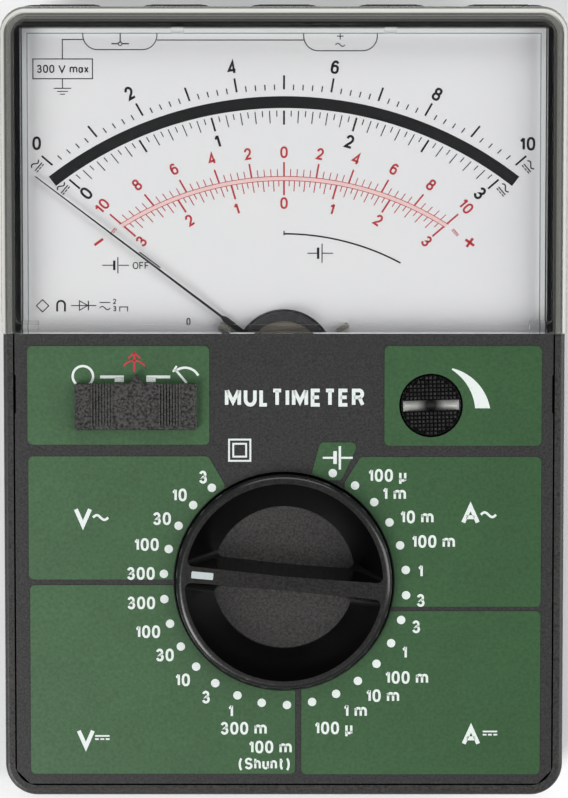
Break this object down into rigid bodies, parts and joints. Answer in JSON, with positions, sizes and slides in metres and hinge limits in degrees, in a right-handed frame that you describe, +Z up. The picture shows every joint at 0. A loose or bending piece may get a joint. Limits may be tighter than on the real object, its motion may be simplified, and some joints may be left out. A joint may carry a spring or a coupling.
{
  "type": "analog multimeter",
  "caption": "Pocket analog multimeter: wedge case, clear dial window, swinging pointer, rotary range knob, slide switch, trimmer and end sockets.",
  "frame": {"origin": "bottom centre of the bounding box, on the surface the case rests on", "axes": "+Z up out of the front, +Y towards the socket end (top of the dial), +X to the right of a person reading the dial"},
  "size_m": [0.1, 0.141, 0.0349],
  "materials": {
    "black_abs": "fine spark-eroded texture",
    "knob_black": "satin moulded",
    "clear_cover": "clear moulded acrylic",
    "label_green": "screen printed film",
    "dial_white": "matt white print",
    "print_white": "screen printed ink",
    "print_black": "screen printed ink",
    "print_red": "screen printed ink",
    "pointer_black": "black lacquer",
    "steel_zinc": "zinc plated",
    "soft_iron": "nickel plated soft iron",
    "brass_plated": "turned brass",
    "spring_bronze": "phosphor bronze strip",
    "copper_coil": "enamelled copper winding",
    "magnet_alnico": "cast alnico",
    "alu_grey": "satin anodised",
    "board_epoxy": "glass epoxy laminate",
    "track_gold": "gold plated copper",
    "component_body": "lacquered resistor",
    "component_black": "moulded epoxy",
    "capacitor_sleeve": "shrink sleeve",
    "film_red": "dipped film capacitor",
    "trimmer_blue": "moulded trimmer",
    "fuse_glass": "clear glass tube",
    "battery_shell": "printed steel jacket",
    "battery_foam": "closed cell foam",
    "lead_red": "PVC insulation",
    "lead_black": "PVC insulation"
  },
  "bodies": {
    "case": {"rear_case": "black_abs", "front_panel": "black_abs", "panel_label": "label_green", "meter_cover": "clear_cover", "dial_plate": "dial_white", "pointer_stops": "component_black", "battery": "battery_shell", "battery_snap": "component_black", "case_screws": "steel_zinc", "socket_insulators": "component_black", "socket_nuts": "component_black", "socket_contacts": "brass_plated", "circuit_board": "board_epoxy", "board_screws": "steel_zinc", "switch_contacts": "track_gold", "detent_ring": "alu_grey", "slide_switch_body": "component_black", "potentiometer_body": "trimmer_blue", "magnet_core": "magnet_alnico", "yoke_ring": "soft_iron", "core_spider": "alu_grey", "movement_frame": "alu_grey", "movement_bridge": "component_black", "jewel_plate": "alu_grey", "jewel_screws": "brass_plated", "hairsprings": "spring_bronze", "zero_adjust_arm": "brass_plated", "movement_screws": "steel_zinc", "resistors": "component_body", "precision_resistors": "component_body", "diodes": "component_black", "capacitors": "capacitor_sleeve", "film_capacitors": "film_red", "amplifier_chip": "component_black", "trimmer_resistors": "trimmer_blue", "current_shunt": "spring_bronze", "fuse": "fuse_glass", "fuse_clips": "spring_bronze", "socket_leads": "lead_red", "battery_leads": "lead_black", "movement_leads": "lead_black"},
    "range_knob_body": {"range_knob": "knob_black", "knob_marker": "print_white", "switch_rotor": "component_black", "rotor_screws": "steel_zinc", "wiper_springs": "spring_bronze", "detent_balls": "steel_zinc", "detent_springs": "steel_zinc"},
    "slide_body": {"slide_knob": "black_abs", "slide_actuator": "component_black"},
    "adjuster_body": {"adjust_knob": "knob_black"},
    "pointer_body": {"pointer": "pointer_black", "balance_weights": "brass_plated", "moving_coil": "copper_coil", "coil_spindle": "steel_zinc"},
    "battery_door": {"battery_cover": "black_abs", "battery_foam": "battery_foam"}
  },
  "joints": [
    {"name": "range_knob_turn", "type": "hinge", "parent": "case", "child": "range_knob_body", "pos_m": [0, -0.03192, 0.02424], "axis": [0, -0.0707, 0.9975], "range_deg": [-48, 252]},
    {"name": "slide_switch_slide", "type": "slide", "parent": "case", "child": "slide_body", "axis": [1, 0, 0], "range_m": [-0.00285, 0.00285]},
    {"name": "adjust_knob_turn", "type": "hinge", "parent": "case", "child": "adjuster_body", "pos_m": [0.0262, -0.0005, 0.02646], "axis": [0, -0.0707, 0.9975], "range_deg": [-135, 135]},
    {"name": "pointer_swing", "type": "hinge", "parent": "case", "child": "pointer_body", "pos_m": [0, 0.00678, 0.02698], "axis": [0, 0.0707, -0.9975], "range_deg": [0, 106], "stiffness_Nm_per_rad": 0.00002},
    {"name": "battery_cover_tilt", "type": "hinge", "parent": "case", "child": "battery_door", "pos_m": [0.0325, 0.00895, 0.00025], "axis": [-1, 0, 0], "range_deg": [0, 40]}
  ]
}
